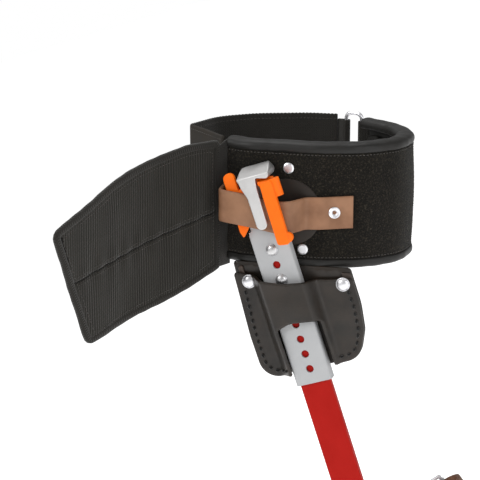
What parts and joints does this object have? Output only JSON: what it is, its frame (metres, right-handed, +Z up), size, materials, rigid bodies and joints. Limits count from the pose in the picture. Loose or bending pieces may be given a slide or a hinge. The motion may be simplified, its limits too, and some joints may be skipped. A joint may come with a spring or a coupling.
{
  "type": "tree climbing spur",
  "caption": "Tree climbing spur for one leg: padded wrap-around calf cuff on a height-adjusting sleeve, flat stirrup bar with a tree gaff, and an ankle strap with a roller buckle.",
  "frame": {"origin": "middle of the stirrup tread's top face, where the boot stands", "axes": "+Z up along the bar, +X across the bar towards the toe, +Y towards the leg"},
  "size_m": [0.2517, 0.2771, 0.4486],
  "materials": {
    "red_paint": "gloss paint",
    "dark_steel": "ground forged steel",
    "zinc_steel": "bright zinc",
    "brown_leather": "oiled",
    "grey_paint": "satin paint",
    "cast_aluminium": "tumbled casting",
    "orange_plastic": "moulded",
    "loop_fabric": "fuzzy loop pile",
    "black_leather": "waxed",
    "plate_aluminium": "mill finish",
    "foam": "closed-cell foam",
    "lining_fabric": "woven",
    "binding_leather": "glossy rolled edge",
    "smooth_black": "smooth",
    "nickel": "nickel plate",
    "strap_leather": "oiled, pale cut edges",
    "webbing": "woven nylon",
    "welt_leather": "cut edge",
    "hook_tape": "ribbed hook tape"
  },
  "bodies": {
    "leg_iron": {"leg_iron": "red_paint", "gaff": "dark_steel", "gaff_screws": "zinc_steel", "adjuster_screws": "zinc_steel", "ankle_strap": "brown_leather", "ankle_chape": "brown_leather", "ankle_keeper": "brown_leather", "ankle_strap_loops": "zinc_steel", "loop_rivets": "zinc_steel"},
    "calf_cuff": {"sleeve": "grey_paint", "strap_hook": "cast_aluminium", "strap_guard": "orange_plastic", "hook_pin": "zinc_steel", "loop_panel": "loop_fabric", "cuff_shell": "black_leather", "stiffener_plate": "plate_aluminium", "cuff_padding": "foam", "cuff_lining": "lining_fabric", "upper_binding": "binding_leather", "lower_binding": "binding_leather", "wear_disc": "smooth_black", "pad_rivets": "nickel", "retaining_strap": "strap_leather", "strap_rivet": "nickel", "back_band": "webbing", "side_panel": "webbing", "band_fold": "webbing", "cuff_tail": "black_leather", "back_ring": "nickel", "boot_back": "black_leather", "boot_welt": "welt_leather", "boot_front": "black_leather", "boot_rivets": "nickel"},
    "closure_flap": {"flap_backing": "webbing", "flap_binding": "binding_leather", "hook_tape_upper": "hook_tape", "hook_tape_lower": "hook_tape"},
    "buckle_frame": {"ankle_buckle_frame": "nickel"},
    "buckle_roller": {"ankle_buckle_roller": "nickel"},
    "buckle_prong": {"ankle_buckle_prong": "nickel"}
  },
  "joints": [
    {"name": "height_adjust", "type": "slide", "parent": "leg_iron", "child": "calf_cuff", "axis": [0, 0, 1], "range_m": [0, 0.0762]},
    {"name": "flap_fold", "type": "hinge", "parent": "calf_cuff", "child": "closure_flap", "pos_m": [-0.03229, -0.0355, 0.37065], "axis": [0.3132, 0, 0.9497], "range_deg": [-75, 0]},
    {"name": "buckle_frame_swing", "type": "hinge", "parent": "leg_iron", "child": "buckle_frame", "pos_m": [0.03195, 0.0486, 0.06163], "axis": [-0.342, 0, 0.9397], "range_deg": [0, 40]},
    {"name": "buckle_roller_spin", "type": "hinge", "parent": "buckle_frame", "child": "buckle_roller", "pos_m": [0.05262, 0.0486, 0.06915], "axis": [-0.342, 0, 0.9397], "continuous": true},
    {"name": "buckle_prong_swing", "type": "hinge", "parent": "buckle_frame", "child": "buckle_prong", "pos_m": [0.03195, 0.0486, 0.06163], "axis": [-0.342, 0, 0.9397], "range_deg": [0, 80]}
  ]
}
